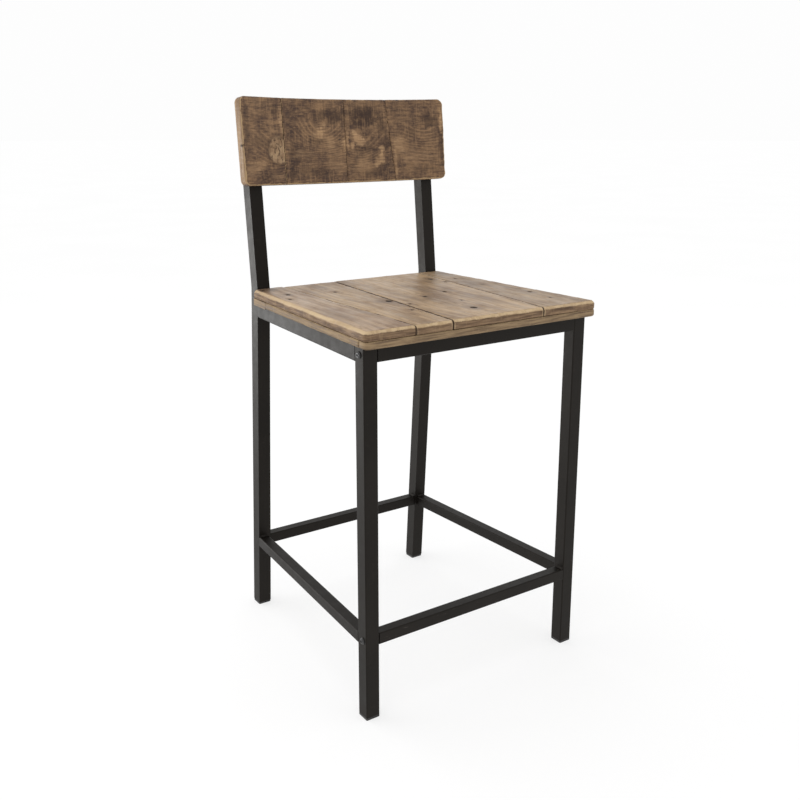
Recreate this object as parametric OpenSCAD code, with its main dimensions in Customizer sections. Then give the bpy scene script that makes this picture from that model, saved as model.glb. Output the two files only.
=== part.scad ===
// Counter-height stool with a back: welded square-tube frame that narrows to the rear, with a footrest,
// reclaimed plank seat on a batten layer, and a curved board back on the rear posts.
// Frame: origin on the floor under the middle, X to the sitter's left, front faces -Y, Z up. Units mm.

/* [Overall] */
// Width over the outer faces of the legs
frame_w = 450; // [400:1:500]
// Depth from the front of the front legs to the back of the rear feet
frame_d = 473; // [440:1:540]
// How much each rear leg stands in from the line of its front leg
taper = 25; // [0:1:50]
// Height of the seat surface above the floor
seat_h = 650; // [620:1:760]
// Distance from the front of the front legs to the rear legs at seat height
seat_run = 404; // [360:1:440]
// Backward rise of the back posts, in mm per mm
recline = 0.10; // [0.04:0.01:0.2]

/* [Tube] */
// Outer size of the square leg and apron tube
tube = 25; // [20:1:32]
// Wall thickness of every tube
wall = 1.5; // [1:0.1:2.5]
// Outer corner radius of the straight tubes
tube_r = 2; // [0.5:0.5:4]
// Size of the square stretcher tube
rail = 20; // [16:1:25]
// Height of the top of the stretchers
rail_top = 150; // [100:1:260]
// Gap at the two bolted ends
bolt_gap = 0.6; // [0.2:0.1:1.5]

/* [Seat] */
// Thickness of the seat planks
plank_t = 16; // [12:1:25]
// Thickness of the batten layer under the planks
batten_t = 12; // [8:1:20]
// Overhang past the legs at the sides
seat_side = 8; // [0:1:30]
// Overhang past the legs at the front
seat_nose = 18; // [0:1:40]
// Radius of the two front corners
seat_r = 9; // [2:1:30]
// How far the seat reaches back between the rear legs
seat_tongue = 5; // [0:1:15]
// Gap between planks
plank_gap = 1.2; // [0.2:0.1:3]
// Width of the first plank at the front, counted from the left
plank_1_front = 90; // [70:5:110]
// Width of the first plank at the rear
plank_1_rear = 60; // [50:5:80]
// Width of the second plank at the front
plank_2_front = 70; // [50:5:90]
// Width of the second plank at the rear
plank_2_rear = 110; // [90:5:120]
// Width of the third plank at the front; the fourth takes what is left
plank_3_front = 185; // [160:5:200]
// Width of the third plank at the rear
plank_3_rear = 195; // [170:5:200]
// Width of the battens
batten_w = 58; // [40:1:90]
// Width of the strip along the front edge
strip_w = 20; // [12:1:40]

/* [Back] */
// Width of the back board
back_w = 436; // [380:1:500]
// Height of the back board
back_h = 154; // [130:1:220]
// Thickness of the back board
back_t = 22; // [16:1:30]
// Height of the lower edge of the back board above the floor
back_z = 833; // [780:1:940]
// Radius of the hollow front face
back_r = 835; // [600:5:1500]
// How far the middle of the front face stands behind the fronts of the posts
back_set = 2; // [0:1:12]
// Corner radius seen from the front
back_corner = 11; // [4:1:30]
// Gap between the joined boards
back_gap = 0.4; // [0.1:0.1:1]
// Width of the first board of the back, counted from the left
board_1 = 90; // [70:5:110]
// Width of the second board of the back
board_2 = 135; // [110:5:150]
// Width of the third board at its top; the fourth takes what is left
board_3_top = 90; // [70:5:110]
// Width of the third board at its foot
board_3_low = 105; // [85:5:120]

/* [Fixings] */
// Diameter of the frame bolts
bolt_d = 6; // [5:1:8]
// Head diameter of the frame bolts
bolt_head_d = 11; // [9:0.5:14]
// Thickness of the foot plug under the leg
foot_t = 4; // [2:0.5:8]
// Leg length of the weld beads
bead = 3; // [2:0.5:5]

/* [Hidden] */
$fn = 96;
lean = atan(recline);
back_y = seat_run + (back_z - seat_h) * recline + (back_set + back_t) * cos(lean) + back_h * sin(lean);
y_front = (seat_nose - max(frame_d, back_y)) / 2;
x_out = frame_w / 2;
x_in = x_out - tube;
foot_y = y_front + frame_d - tube;
knee_y = y_front + seat_run;
apron_top = seat_h - plank_t - batten_t;
apron_z = apron_top - tube;
rail_z = rail_top - rail;
post_top = back_z + back_h - 23;
rear_out = x_out - taper;
rear_in = rear_out - tube;
seat_x = x_out + seat_side;
seat_y0 = y_front - seat_nose;
seat_y1 = knee_y + seat_tongue;
seat_slope = taper / (seat_y1 - seat_y0);
seat_skew = atan(seat_slope);
seat_cx = seat_x - seat_r / cos(seat_skew) - seat_r * seat_slope;
post_t = tube * cos(lean);
clear = 0.2;
// Past the outer edge, so that the outermost cut lies outside the wood
past = 5;
// Sum of the first widths of a row, up to and with number i
function running(widths, i) = i < 0 ? 0 : widths[i] + running(widths, i - 1);
// Joint lines of pieces laid side by side across 2 * half, from the middle
function joints(widths, half) = [-half - past, for (i = [0:2]) running(widths, i) - half, half + past];
plank_front = joints([plank_1_front, plank_2_front, plank_3_front], seat_x);
plank_rear = joints([plank_1_rear, plank_2_rear, plank_3_rear], seat_x - taper);
// How far the rear end of each plank stands past the seat's rear line
plank_end = [-2, 0.5, -0.8, 0];
board_top = joints([board_1, board_2, board_3_top], back_w / 2);
board_low = joints([board_1, board_2, board_3_low], back_w / 2);
screw_z = [40, back_h - 42];
tab_in = 15;
tab = 30;
tab_gap = 2.5;

function seat_edge(y) = seat_x - (y - seat_y0) * seat_slope;
function leg_y(z) = z < seat_h ? foot_y + (knee_y - foot_y) * z / seat_h : knee_y + (z - seat_h) * recline;

// A flat shape with rounded corners, centred
module rounded(w, d, r) {
    square([w - 2 * r, d], center = true);
    square([w, d - 2 * r], center = true);
    for (sx = [-1, 1], sy = [-1, 1])
        translate([sx * (w / 2 - r), sy * (d / 2 - r)]) circle(r = r);
}

// A straight square tube along Z, centred on the axis
module square_tube(size, len) {
    difference() {
        linear_extrude(height = len) rounded(size, size, tube_r);
        translate([-size / 2 + wall, -size / 2 + wall, -1])
            cube([size - 2 * wall, size - 2 * wall, len + 2]);
    }
}

// A straight square tube from x0 to x1, with its lower front edge at y, z
module tube_x(x0, x1, y, z, size) {
    translate([x0, y + size / 2, z + size / 2]) rotate([90, 0, 90]) square_tube(size, x1 - x0);
}

// A straight square tube from y0 to y1, with its lower left edge at x, z
module tube_y(x, y0, y1, z, size) {
    translate([x + size / 2, y0, z + size / 2]) rotate([-90, 0, 0]) square_tube(size, y1 - y0);
}

// The side shape of a rear leg, inset by i, between two heights
module leg_profile(i, z0, z1) {
    polygon([
        [leg_y(z0) + i, z0], [leg_y(z0) + tube - i, z0],
        [knee_y + tube - i, seat_h], [leg_y(z1) + tube - i, z1],
        [leg_y(z1) + i, z1], [knee_y + i, seat_h]
    ]);
}

// The side shape of a rear leg pulled out along X from x
module leg_bar(x, w, i, z0, z1) {
    translate([x, 0, 0]) rotate([90, 0, 90]) linear_extrude(height = w) leg_profile(i, z0, z1);
}

// Places children in the frame of the back: Y = 0 on the fronts of the posts, Z up along them
module on_posts() {
    translate([0, leg_y(back_z), back_z]) rotate([-lean, 0, 0]) children();
}

// Positions of the back screws in the frame of the back, axis along -Y from the rear
module at_back_screws() {
    for (sx = [-1, 1], z = screw_z)
        translate([sx * (rear_out - tube / 2), post_t, z]) rotate([90, 0, 0]) children();
}

// Positions of the frame bolts, axis along +X from the outer face of the left leg
module at_frame_bolts() {
    for (z = [apron_z + tube / 2, rail_z + rail / 2])
        translate([-x_out, y_front + (z > rail_top ? tube : rail) / 2, z]) rotate([0, 90, 0]) children();
}

// Positions of the seat screws on the floor plan
module at_seat_screws() {
    for (sx = [-1, 1]) {
        translate([sx * (x_in - tab_gap - tab_in), y_front + tube + tab_in, 0]) children();
        translate([sx * (rear_in - 0.5 - tab_in), leg_y(apron_z) - tab_in, 0]) children();
    }
}

module front_leg(side) {
    translate([side * (x_out - tube / 2), y_front + tube / 2, foot_t]) square_tube(tube, apron_top - foot_t);
}

module front_leg_left() {
    color([0.13, 0.12, 0.115]) difference() {
        front_leg(-1);
        at_frame_bolts() translate([0, 0, -1]) cylinder(d = bolt_d + 2 * clear, h = tube + 2);
    }
}

module front_leg_right() {
    color([0.13, 0.12, 0.115]) front_leg(1);
}

module rear_leg(x) {
    difference() {
        leg_bar(x, tube, 0, foot_t, post_top);
        leg_bar(x + wall, tube - 2 * wall, wall, foot_t - 1, post_top + 1);
        on_posts() at_back_screws() translate([0, 0, -3]) cylinder(d = 5, h = tube + 6);
    }
}

module rear_leg_left() {
    color([0.13, 0.12, 0.115]) rear_leg(-rear_out);
}

module rear_leg_right() {
    color([0.13, 0.12, 0.115]) rear_leg(rear_in);
}

module apron_front() {
    color([0.12, 0.11, 0.105]) tube_x(-x_in + bolt_gap, x_in, y_front, apron_z, tube);
}

module apron_rear() {
    color([0.12, 0.11, 0.105]) tube_x(-rear_in, rear_in, leg_y(apron_z), apron_z, tube);
}

// A side tube from a front leg to a rear leg, its outer face on the line of their outer faces
module side_tube(side, z, size) {
    skew = atan(taper / (leg_y(z + size / 2) - y_front - tube));
    mirror([side > 0 ? 1 : 0, 0, 0]) difference() {
        translate([-x_out, y_front + tube, 0]) rotate([0, 0, -skew]) tube_y(0, -10, frame_d, z, size);
        translate([-x_out - 5, y_front + tube - 30, z - 1]) cube([60, 30, size + 2]);
        leg_bar(-x_out - 5, 90, 0, z - 5, z + 60);
        translate([-x_out - 5, leg_y(z) + tube - 3, z - 1]) cube([90, frame_d, size + 2]);
    }
}

module apron_left() {
    color([0.12, 0.11, 0.105]) side_tube(-1, apron_z, tube);
}

module apron_right() {
    color([0.12, 0.11, 0.105]) side_tube(1, apron_z, tube);
}

module footrest() {
    color([0.13, 0.12, 0.11]) tube_x(-x_in + bolt_gap, x_in, y_front, rail_z, rail);
}

module stretcher_rear() {
    color([0.12, 0.11, 0.105]) tube_x(-rear_in, rear_in, leg_y(rail_top) + (tube - rail) / 2, rail_z, rail);
}

module stretcher_left() {
    color([0.12, 0.11, 0.105]) side_tube(-1, rail_z, rail);
}

module stretcher_right() {
    color([0.12, 0.11, 0.105]) side_tube(1, rail_z, rail);
}

// A bead along X in the corner between a level face at z and a leg face at y
module bead_x(x0, x1, y, z, way) {
    translate([x0, y, z]) rotate([90, 0, 90]) linear_extrude(height = x1 - x0)
        polygon([[0, 0], [way * bead, 0], [0, bead]]);
}

// A bead along Y in the corner between a level face at z and a leg face at x
module bead_y(x, y0, y1, z, way) {
    translate([x, y0, z]) rotate([-90, 0, 0]) linear_extrude(height = y1 - y0)
        polygon([[0, 0], [way * bead, 0], [0, -bead]]);
}

module weld_beads() {
    color([0.1, 0.09, 0.085]) {
        for (s = [0, 1]) mirror([s, 0, 0]) {
            bead_x(-x_out + 2, -x_out + rail - 2, y_front + tube, rail_top, 1);
            difference() {
                translate([0, 0.5, 0]) bead_x(-rear_out + 2, -rear_out + rail - 2, leg_y(rail_top), rail_top, -1);
                leg_bar(-rear_out, rail, 0, rail_top - 5, rail_top + 20);
            }
        }
        bead_y(x_in, y_front + 1.5, y_front + rail - 1.5, rail_top, -1);
        for (s = [-1, 1])
            bead_y(s * rear_in, leg_y(rail_top) + 4, leg_y(rail_top) + rail, rail_top, -s);
    }
}

module frame_bolts() {
    color([0.07, 0.07, 0.07]) at_frame_bolts() difference() {
        union() {
            translate([0, 0, -1.2]) cylinder(d = bolt_head_d, h = 1.2);
            translate([0, 0, -3.4]) cylinder(d1 = bolt_head_d - 4, d2 = bolt_head_d, h = 2.2);
            cylinder(d = bolt_d, h = tube + 15);
        }
        translate([0, 0, -4]) cylinder(r = 2.3, h = 2.6, $fn = 6);
    }
}

module insert_nut(y, z, size, inner) {
    difference() {
        translate([-x_in + bolt_gap + 1, y + (size - inner) / 2, z + (size - inner) / 2])
            cube([13, inner, inner]);
        translate([-x_in, y + size / 2, z + size / 2]) rotate([0, 90, 0])
            cylinder(d = bolt_d + 2 * clear, h = 20);
    }
}

module insert_nuts() {
    color([0.5, 0.5, 0.5]) {
        insert_nut(y_front, apron_z, tube, tube - 2 * wall - 2 * clear);
        insert_nut(y_front, rail_z, rail, rail - 2 * wall - 2 * clear);
    }
}

module foot_plug(x, y) {
    color([0.04, 0.04, 0.04]) translate([x + tube / 2, y + tube / 2, 0]) {
        linear_extrude(height = foot_t) rounded(tube, tube, tube_r);
        translate([-10, -10, foot_t]) cube([20, 20, 14]);
    }
}

module foot_plug_front_left() {
    foot_plug(-x_out, y_front);
}

module foot_plug_front_right() {
    foot_plug(x_in, y_front);
}

module foot_plug_rear_left() {
    foot_plug(-rear_out, foot_y);
}

module foot_plug_rear_right() {
    foot_plug(rear_in, foot_y);
}

module post_caps() {
    color([0.04, 0.04, 0.04]) for (x = [-rear_out, rear_in])
        translate([x + tube / 2, leg_y(post_top) + tube / 2, post_top]) {
            linear_extrude(height = 2.5) rounded(tube, tube, tube_r);
            translate([-9, -9, -12]) cube([18, 18, 12]);
        }
}

// The seat narrows to the rear, with rounded front corners and notches around the rear legs
module seat_block(z, t) {
    side_x = seat_cx + seat_r * cos(seat_skew);
    side_y = seat_y0 + seat_r + seat_r * sin(seat_skew);
    difference() {
        union() {
            translate([0, 0, z]) linear_extrude(height = t) polygon([
                [-seat_cx, seat_y0], [seat_cx, seat_y0], [side_x, side_y], [seat_edge(seat_y1), seat_y1],
                [-seat_edge(seat_y1), seat_y1], [-side_x, side_y]
            ]);
            for (s = [-1, 1])
                translate([s * seat_cx, seat_y0 + seat_r, z]) cylinder(r = seat_r, h = t);
        }
        for (x = [-seat_x - 1, rear_in - 0.5])
            translate([x, knee_y - 0.5, z - 1]) cube([tube + seat_side + taper + 1.5, tube, t + 2]);
    }
}

module seat_plank(i) {
    z = seat_h - plank_t;
    intersection() {
        seat_block(z, plank_t);
        translate([0, 0, z - 1]) linear_extrude(height = plank_t + 2) polygon([
            [plank_front[i] + plank_gap / 2, seat_y0 - 1],
            [plank_front[i + 1] - plank_gap / 2, seat_y0 - 1],
            [plank_rear[i + 1] - plank_gap / 2, seat_y1 + plank_end[i]],
            [plank_rear[i] + plank_gap / 2, seat_y1 + plank_end[i]]
        ]);
    }
}

module seat_plank_1() {
    color([0.45, 0.37, 0.31]) seat_plank(0);
}

module seat_plank_2() {
    color([0.48, 0.37, 0.27]) seat_plank(1);
}

module seat_plank_3() {
    color([0.5, 0.39, 0.28]) seat_plank(2);
}

module seat_plank_4() {
    color([0.47, 0.38, 0.28]) seat_plank(3);
}

// A strip between two lines across the seat; edges given at its front and at its rear
module seat_strip(y0, y1, left, right) {
    difference() {
        intersection() {
            seat_block(apron_top, batten_t);
            translate([0, 0, apron_top - 1]) linear_extrude(height = batten_t + 2)
                polygon([[left[0], y0], [right[0], y0], [right[1], y1], [left[1], y1]]);
        }
        at_seat_screws() translate([0, 0, apron_top - 1]) cylinder(d = 4.4, h = batten_t);
    }
}

module seat_edge_front() {
    y1 = seat_y0 + strip_w;
    color([0.55, 0.46, 0.33]) seat_strip(seat_y0 - 1, y1, [-300, -300], [300, 300]);
}

module seat_batten_front() {
    y0 = seat_y0 + strip_w;
    y1 = y0 + batten_w;
    a = seat_edge(y0) - batten_w;
    b = seat_edge(y1) - batten_w;
    color([0.5, 0.42, 0.3]) seat_strip(y0, y1, [-a, -b], [a, b]);
}

module seat_batten_rear() {
    color([0.5, 0.42, 0.3]) seat_strip(seat_y1 - batten_w, seat_y1 + 1, [-300, -300], [300, 300]);
}

module seat_batten_left() {
    y0 = seat_y0 + strip_w;
    y1 = seat_y1 - batten_w;
    a = seat_edge(y0) - batten_w;
    b = seat_edge(y1) - batten_w;
    color([0.5, 0.42, 0.3]) seat_strip(y0, y1, [-300, -300], [-a, -b]);
}

module seat_batten_right() {
    mirror([1, 0, 0]) seat_batten_left();
}

module seat_tabs() {
    color([0.1, 0.1, 0.1]) difference() {
        for (s = [0, 1]) mirror([s, 0, 0]) {
            translate([x_in - tab_gap - tab, y_front + tube, apron_top - 3]) cube([tab, tab, 3]);
            translate([rear_in - 0.5 - tab, leg_y(apron_z) - tab, apron_top - 3]) cube([tab, tab, 3]);
        }
        at_seat_screws() translate([0, 0, apron_top - 4]) cylinder(d = 4.8, h = 5);
    }
}

module seat_screws() {
    color([0.45, 0.45, 0.45]) at_seat_screws() difference() {
        union() {
            translate([0, 0, apron_top - 5.4]) cylinder(d = 8, h = 2.4);
            translate([0, 0, apron_top - 3]) cylinder(d = 4, h = 14);
        }
        translate([0, 0, apron_top - 6]) cylinder(r = 1.7, h = 2, $fn = 6);
    }
}

// The whole curved back, seated on flats at the posts, with its corners rounded
module back_block() {
    difference() {
        intersection() {
            translate([0, back_set - back_r, 0]) difference() {
                cylinder(r = back_r + back_t, h = back_h);
                translate([0, 0, -1]) cylinder(r = back_r, h = back_h + 2);
            }
            translate([0, -back_w / 4, back_h / 2]) rotate([-90, 0, 0])
                linear_extrude(height = back_w / 2) rounded(back_w, back_h, back_corner);
        }
        for (x = [-rear_out - 0.5, rear_in - 0.5]) translate([x, 0, -1]) cube([tube + 1, tube, back_h + 2]);
        at_back_screws() cylinder(d = 4.7, h = tube + 12);
    }
}

module back_board(i) {
    on_posts() intersection() {
        back_block();
        translate([0, -back_w / 2, back_h / 2]) rotate([-90, 0, 0]) linear_extrude(height = back_w)
            polygon([
                [board_top[i] + back_gap / 2, -back_h / 2 - 1],
                [board_top[i + 1] - back_gap / 2, -back_h / 2 - 1],
                [board_low[i + 1] - back_gap / 2, back_h / 2 + 1],
                [board_low[i] + back_gap / 2, back_h / 2 + 1]
            ]);
    }
}

module back_board_1() {
    color([0.3, 0.22, 0.16]) back_board(0);
}

module back_board_2() {
    color([0.27, 0.2, 0.15]) back_board(1);
}

module back_board_3() {
    color([0.28, 0.21, 0.15]) back_board(2);
}

module back_board_4() {
    color([0.26, 0.19, 0.14]) back_board(3);
}

module back_screws() {
    color([0.07, 0.07, 0.07]) on_posts() at_back_screws() difference() {
        union() {
            translate([0, 0, -2]) cylinder(d = 9, h = 2);
            cylinder(d = 4.5, h = tube + 10);
        }
        translate([0, 0, -2.5]) cylinder(r = 1.8, h = 1.8, $fn = 6);
    }
}

front_leg_left();
front_leg_right();
rear_leg_left();
rear_leg_right();
apron_front();
apron_rear();
apron_left();
apron_right();
footrest();
stretcher_rear();
stretcher_left();
stretcher_right();
weld_beads();
frame_bolts();
insert_nuts();
foot_plug_front_left();
foot_plug_front_right();
foot_plug_rear_left();
foot_plug_rear_right();
post_caps();
seat_plank_1();
seat_plank_2();
seat_plank_3();
seat_plank_4();
seat_edge_front();
seat_batten_front();
seat_batten_rear();
seat_batten_left();
seat_batten_right();
seat_tabs();
seat_screws();
back_board_1();
back_board_2();
back_board_3();
back_board_4();
back_screws();
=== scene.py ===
"""Counter stool with footrest: finishes, worn wood, floor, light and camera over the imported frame."""
import bpy
import math
import numpy as np
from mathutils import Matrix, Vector, noise


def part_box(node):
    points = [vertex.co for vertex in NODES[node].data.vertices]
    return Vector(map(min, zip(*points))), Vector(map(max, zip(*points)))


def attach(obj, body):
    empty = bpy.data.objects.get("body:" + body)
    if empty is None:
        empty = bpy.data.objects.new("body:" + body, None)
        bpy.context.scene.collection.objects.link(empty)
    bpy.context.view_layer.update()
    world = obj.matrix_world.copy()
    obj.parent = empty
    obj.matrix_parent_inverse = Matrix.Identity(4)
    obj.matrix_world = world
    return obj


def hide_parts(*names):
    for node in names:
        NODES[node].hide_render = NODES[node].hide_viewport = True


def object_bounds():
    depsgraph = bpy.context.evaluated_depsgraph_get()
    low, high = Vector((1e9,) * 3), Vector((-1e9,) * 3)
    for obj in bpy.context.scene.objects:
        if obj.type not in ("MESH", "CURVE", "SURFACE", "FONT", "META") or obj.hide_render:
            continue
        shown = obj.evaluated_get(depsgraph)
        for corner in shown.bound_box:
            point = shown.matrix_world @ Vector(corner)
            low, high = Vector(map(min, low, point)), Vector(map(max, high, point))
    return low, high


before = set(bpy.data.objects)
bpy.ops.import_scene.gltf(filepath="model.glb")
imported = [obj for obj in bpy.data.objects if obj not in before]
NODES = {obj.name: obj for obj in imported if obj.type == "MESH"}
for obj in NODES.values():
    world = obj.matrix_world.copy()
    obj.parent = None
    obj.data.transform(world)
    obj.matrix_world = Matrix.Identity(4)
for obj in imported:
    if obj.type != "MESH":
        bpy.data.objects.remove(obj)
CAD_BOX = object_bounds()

# ---------------------------------------------------------------- named sizes, metres
LEAN = math.atan(0.10)      # recline of the back posts
BACK_R = 0.835              # hollow face of the back
BACK_T = 0.022
BACK_SET = 0.002
BACK_H = 0.154
BACK_CORNER = 0.011
BACK_GAP = 0.0004
PLANK_GAP = 0.0012
SEAT_CORNER = 0.009
VOXEL_SEAT = 0.0024
VOXEL_BACK = 0.0022
SEAT_GLOSS = 0.34           # roughness of a clean plank
SAW_MARKS = 0.4             # strength of the upright saw marks on the back
BACK_TONES = ((0.050, 0.0285, 0.0225), (0.132, 0.076, 0.045), (0.310, 0.187, 0.097))   # dark, middle, light
TONE_TRIM = (0.98, 0.94, 0.90)   # red, green, blue: warms every plank a little
SEAT_WEAR = (0.0052, 0.0058, 0.0010, 0.0016)     # edge radii: nose, sides, underside, joints
BATTEN_WEAR = (0.0010, 0.0010, 0.0014, 0.001)
TOUCH = 0.0006              # points this near the top or front face belong to it
BACK_EDGE = 0.0024          # edge radius of the back's front face
BACK_REAR_EDGE = 0.0018
BACK_JOINT_EDGE = 0.0006
VIEW_AZ = -34
VIEW_EL = 14
VIEW_DIST = 1.72
VIEW_LENS = 42.5
VIEW_SHIFT = -0.05


# ---------------------------------------------------------------- shader helper
class Mat:
    """A node material written as short expressions."""

    def __init__(self, name):
        self.mat = bpy.data.materials.new(name)
        self.mat.use_nodes = True
        self.tree = self.mat.node_tree
        self.tree.nodes.clear()
        self.out = self.node("ShaderNodeOutputMaterial")
        self.bsdf = self.node("ShaderNodeBsdfPrincipled")
        self.tree.links.new(self.bsdf.outputs["BSDF"], self.out.inputs["Surface"])
        self.coord = self.node("ShaderNodeTexCoord").outputs["Object"]

    def node(self, kind, **props):
        n = self.tree.nodes.new(kind)
        for k, v in props.items():
            setattr(n, k, v)
        return n

    def put(self, socket, value):
        if isinstance(value, bpy.types.NodeSocket):
            self.tree.links.new(value, socket)
        elif hasattr(value, "__len__") and len(value) == 3 and len(socket.default_value) == 4:
            socket.default_value = (*value, 1.0)
        else:
            socket.default_value = value

    def math(self, op, a, b=0.0, clamp=False):
        n = self.node("ShaderNodeMath", operation=op, use_clamp=clamp)
        self.put(n.inputs[0], a)
        self.put(n.inputs[1], b)
        return n.outputs[0]

    def vmath(self, op, a, b=(0, 0, 0)):
        n = self.node("ShaderNodeVectorMath", operation=op)
        self.put(n.inputs[0], a)
        self.put(n.inputs[1], b)
        return n.outputs["Value"] if op in ("LENGTH", "DISTANCE", "DOT_PRODUCT") else n.outputs["Vector"]

    def scaled(self, scale, shift=(0, 0, 0), vec=None):
        return self.vmath("MULTIPLY", self.vmath("ADD", self.coord if vec is None else vec, shift), scale)

    def noise(self, vec, scale=1.0, detail=3.0, rough=0.5, distort=0.0):
        n = self.node("ShaderNodeTexNoise")
        self.put(n.inputs["Vector"], vec)
        n.inputs["Scale"].default_value = scale
        n.inputs["Detail"].default_value = detail
        n.inputs["Roughness"].default_value = rough
        n.inputs["Distortion"].default_value = distort
        return n.outputs[0]

    def warp(self, vec, scale, amount):
        """vec moved a little by a noise, so that no outline is clean."""
        n = self.node("ShaderNodeTexNoise")
        self.put(n.inputs["Vector"], vec)
        n.inputs["Scale"].default_value = scale
        n.inputs["Detail"].default_value = 3.0
        shift = self.vmath("SUBTRACT", n.outputs[1], (0.5, 0.5, 0.5))
        return self.vmath("ADD", vec, self.vmath("MULTIPLY", shift, amount))

    def step(self, x, lo, hi, a=0.0, b=1.0):
        n = self.node("ShaderNodeMapRange", interpolation_type="SMOOTHSTEP")
        self.put(n.inputs["Value"], x)
        for key, v in (("From Min", lo), ("From Max", hi), ("To Min", a), ("To Max", b)):
            self.put(n.inputs[key], v)
        return n.outputs[0]

    def mix(self, f, a, b):
        n = self.node("ShaderNodeMix", data_type="RGBA")
        self.put(n.inputs[0], f)
        self.put(n.inputs[6], a)
        self.put(n.inputs[7], b)
        return n.outputs[2]

    def ramp(self, f, stops):
        n = self.node("ShaderNodeValToRGB")
        self.put(n.inputs[0], f)
        e = n.color_ramp.elements
        while len(e) < len(stops):
            e.new(0.5)
        for el, (pos, col) in zip(e, stops):
            el.position = pos
            el.color = (*col, 1.0)
        return n.outputs[0]

    def bump(self, height, distance, strength=1.0, normal=None):
        n = self.node("ShaderNodeBump")
        n.inputs["Strength"].default_value = strength
        n.inputs["Distance"].default_value = distance
        self.put(n.inputs["Height"], height)
        if normal is not None:
            self.put(n.inputs["Normal"], normal)
        return n.outputs[0]

    def attr(self, name):
        return self.node("ShaderNodeAttribute", attribute_name=name).outputs["Fac"]

    def xyz(self, vec=None):
        n = self.node("ShaderNodeSeparateXYZ")
        self.put(n.inputs[0], self.coord if vec is None else vec)
        return n.outputs

    def normal_axis(self, axis):
        g = self.node("ShaderNodeNewGeometry")
        return self.xyz(g.outputs["Normal"])[axis]

    def blob(self, vec, centre, radii, ragged, edge=0.45):
        """1 inside a ragged oval patch, fading to 0 at its rim."""
        d = self.vmath("SUBTRACT", vec, centre)
        d = self.vmath("MULTIPLY", d, tuple(1.0 / r for r in radii))
        d = self.math("ADD", self.vmath("LENGTH", d), ragged)
        return self.step(d, 1.0 - edge, 1.0 + edge * 0.3, 1.0, 0.0)

    def finish(self, color, rough, normal, specular=0.5, metallic=0.0):
        b = self.bsdf.inputs
        self.put(b["Base Color"], color)
        self.put(b["Roughness"], rough)
        self.put(b["Normal"], normal)
        b["Specular IOR Level"].default_value = specular
        b["Metallic"].default_value = metallic
        return self.mat


# ---------------------------------------------------------------- steel, plastic, fixings
def powder_coat(name, base, lift, rough, grain=1.0, scuffs=0.25):
    m = Mat(name)
    broad = m.noise(m.coord, 9.0, 4.0, 0.55)
    cloud = m.noise(m.coord, 60.0, 3.0, 0.6)
    peel = m.noise(m.coord, 900.0, 2.0, 0.5)
    speck = m.noise(m.coord, 420.0, 4.0, 0.7)
    draw = m.noise(m.scaled((220.0, 220.0, 9.0)), 1.0, 2.0, 0.5)
    col = m.mix(m.step(broad, 0.35, 0.7), base, lift)
    col = m.mix(m.step(cloud, 0.52, 0.8, 0.0, 0.5), col, tuple(c * 1.8 for c in lift))
    col = m.mix(m.step(speck, 0.7, 0.78, 0.0, 0.55), col, tuple(c * 3.0 for c in lift))
    col = m.mix(m.step(draw, 0.6, 0.8, 0.0, 0.3), col, tuple(c * 0.5 for c in base))
    # nicks from shoes and handling, on the upward faces most of all
    nick = m.noise(m.scaled((70.0, 420.0, 420.0)), 1.0, 3.0, 0.7)
    upward = m.step(m.normal_axis(2), 0.3, 0.8, 0.35, 1.0)
    nick = m.math("MULTIPLY", m.step(nick, 0.66, 0.72), m.math("MULTIPLY", upward, scuffs))
    col = m.mix(nick, col, (0.115, 0.102, 0.085))
    r = m.math("ADD", rough, m.math("MULTIPLY", m.math("SUBTRACT", cloud, 0.5), 0.22))
    r = m.math("ADD", r, m.math("MULTIPLY", m.math("SUBTRACT", broad, 0.5), 0.15), clamp=True)
    n = m.bump(peel, 0.00012 * grain, 0.35)
    n = m.bump(broad, 0.0012, 0.12, n)
    m.bsdf.inputs["Specular Tint"].default_value = (1.0, 0.93, 0.84, 1.0)
    return m.finish(col, r, n, specular=0.19)


def plastic(name, base):
    m = Mat(name)
    mould = m.noise(m.coord, 700.0, 3.0, 0.6)
    scuff = m.noise(m.scaled((60.0, 60.0, 400.0)), 1.0, 4.0, 0.65)
    low = m.step(m.xyz()[2], 0.0, 0.006, 1.0, 0.0)
    wear = m.math("MULTIPLY", m.step(scuff, 0.5, 0.75), m.math("ADD", 0.25, low), clamp=True)
    col = m.mix(wear, base, (0.10, 0.095, 0.09))
    n = m.bump(mould, 0.00015, 0.4)
    n = m.bump(scuff, 0.0003, 0.25, n)
    return m.finish(col, m.step(scuff, 0.3, 0.8, 0.42, 0.7), n, specular=0.4)


def bare_steel(name):
    m = Mat(name)
    brush = m.noise(m.scaled((1800.0, 40.0, 40.0)), 1.0, 3.0, 0.5)
    spots = m.noise(m.coord, 160.0, 4.0, 0.6)
    col = m.mix(m.step(spots, 0.45, 0.7), (0.55, 0.54, 0.50), (0.38, 0.36, 0.32))
    return m.finish(col, m.step(brush, 0.3, 0.7, 0.28, 0.5), m.bump(brush, 0.0001, 0.4), metallic=1.0)


def black_oxide(name):
    m = Mat(name)
    brush = m.noise(m.coord, 1500.0, 3.0, 0.6)
    rub = m.noise(m.coord, 300.0, 4.0, 0.65)
    col = m.mix(m.step(rub, 0.55, 0.75), (0.018, 0.017, 0.017), (0.07, 0.068, 0.065))
    return m.finish(col, m.step(rub, 0.3, 0.7, 0.25, 0.42), m.bump(brush, 0.0001, 0.35), specular=0.6)


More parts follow.
